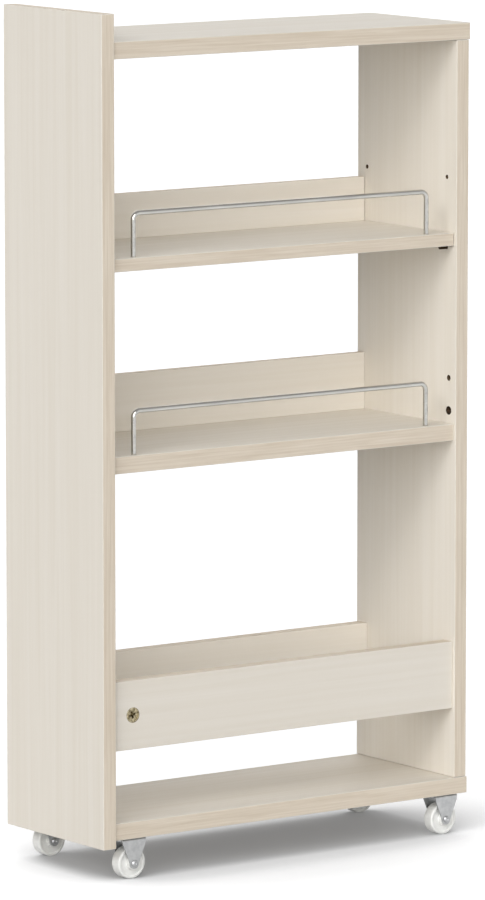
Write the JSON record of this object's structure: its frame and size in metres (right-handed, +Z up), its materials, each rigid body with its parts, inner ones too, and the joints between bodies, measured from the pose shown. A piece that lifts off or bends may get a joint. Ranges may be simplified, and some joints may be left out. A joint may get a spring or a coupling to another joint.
{
  "type": "rolling pantry cart",
  "caption": "Slim rolling storage cart with a tall facing panel, a top, open shelves with back rails and bent wire rails, guard boards at the bottom and rigid casters.",
  "frame": {"origin": "on the floor, under the middle of the cart's bounding box", "axes": "+Z up, +X along the cart from the tall facing panel to the end panel, -Y towards the open front with the wire rails"},
  "size_m": [0.452, 0.17, 0.856],
  "materials": {
    "white_wood_laminate": "white-washed wood-grain laminate on particle board, with a warmer edge band",
    "bright_steel_wire": "bright plated steel wire",
    "zinc_plated_steel": "zinc-plated pressed steel",
    "bronzed_steel": "turned steel, bronzed dark brown",
    "yellow_zinc_casting": "yellow-passivated zinc",
    "white_nylon": "moulded white nylon, slightly glossy"
  },
  "bodies": {
    "carcass": {"facing_panel": "white_wood_laminate", "end_panel": "white_wood_laminate", "top_board": "white_wood_laminate", "bottom_board": "white_wood_laminate", "lower_shelf": "white_wood_laminate", "lower_back_rail": "white_wood_laminate", "lower_wire_rail": "bright_steel_wire", "front_guard": "white_wood_laminate", "rear_guard": "white_wood_laminate", "shelf_pin_front_left": "bronzed_steel", "shelf_pin_front_right": "bronzed_steel", "shelf_pin_rear_left": "bronzed_steel", "shelf_pin_rear_right": "bronzed_steel", "threaded_insert": "bronzed_steel", "top_front_cam": "yellow_zinc_casting", "top_front_bolt": "yellow_zinc_casting", "top_rear_cam": "yellow_zinc_casting", "top_rear_bolt": "yellow_zinc_casting", "shelf_front_cam": "yellow_zinc_casting", "shelf_front_bolt": "yellow_zinc_casting", "shelf_rear_cam": "yellow_zinc_casting", "shelf_rear_bolt": "yellow_zinc_casting", "bottom_front_cam": "yellow_zinc_casting", "bottom_front_bolt": "yellow_zinc_casting", "bottom_rear_cam": "yellow_zinc_casting", "bottom_rear_bolt": "yellow_zinc_casting", "end_top_front_cam": "yellow_zinc_casting", "end_top_front_bolt": "yellow_zinc_casting", "end_top_rear_cam": "yellow_zinc_casting", "end_top_rear_bolt": "yellow_zinc_casting", "end_bottom_front_cam": "yellow_zinc_casting", "end_bottom_front_bolt": "yellow_zinc_casting", "end_bottom_rear_cam": "yellow_zinc_casting", "end_bottom_rear_bolt": "yellow_zinc_casting", "front_guard_cam": "yellow_zinc_casting", "front_guard_bolt": "yellow_zinc_casting", "rear_guard_cam": "yellow_zinc_casting", "rear_guard_bolt": "yellow_zinc_casting", "shelf_screw_front": "zinc_plated_steel", "shelf_screw_rear": "zinc_plated_steel", "guard_screw_front": "zinc_plated_steel", "guard_screw_rear": "zinc_plated_steel", "fork_front_left": "zinc_plated_steel", "fork_front_right": "zinc_plated_steel", "fork_rear_left": "zinc_plated_steel", "fork_rear_right": "zinc_plated_steel", "axle_front_left": "zinc_plated_steel", "axle_front_right": "zinc_plated_steel", "axle_rear_left": "zinc_plated_steel", "axle_rear_right": "zinc_plated_steel"},
    "lift_out_shelf": {"upper_shelf": "white_wood_laminate", "upper_back_rail": "white_wood_laminate", "upper_wire_rail": "bright_steel_wire"},
    "roller_front_left": {"wheel_front_left": "white_nylon"},
    "roller_front_right": {"wheel_front_right": "white_nylon"},
    "roller_rear_left": {"wheel_rear_left": "white_nylon"},
    "roller_rear_right": {"wheel_rear_right": "white_nylon"}
  },
  "joints": [
    {"name": "upper_shelf_lift", "type": "slide", "parent": "carcass", "child": "lift_out_shelf", "axis": [0, 0, 1], "range_m": [0, 0.071]},
    {"name": "wheel_front_left_roll", "type": "hinge", "parent": "carcass", "child": "roller_front_left", "pos_m": [-0.1862, -0.07, 0.016], "axis": [0, 1, 0], "continuous": true},
    {"name": "wheel_front_right_roll", "type": "hinge", "parent": "carcass", "child": "roller_front_right", "pos_m": [0.2015, -0.07, 0.016], "axis": [0, 1, 0], "continuous": true},
    {"name": "wheel_rear_left_roll", "type": "hinge", "parent": "carcass", "child": "roller_rear_left", "pos_m": [-0.1862, 0.07, 0.016], "axis": [0, 1, 0], "continuous": true},
    {"name": "wheel_rear_right_roll", "type": "hinge", "parent": "carcass", "child": "roller_rear_right", "pos_m": [0.2015, 0.07, 0.016], "axis": [0, 1, 0], "continuous": true}
  ]
}
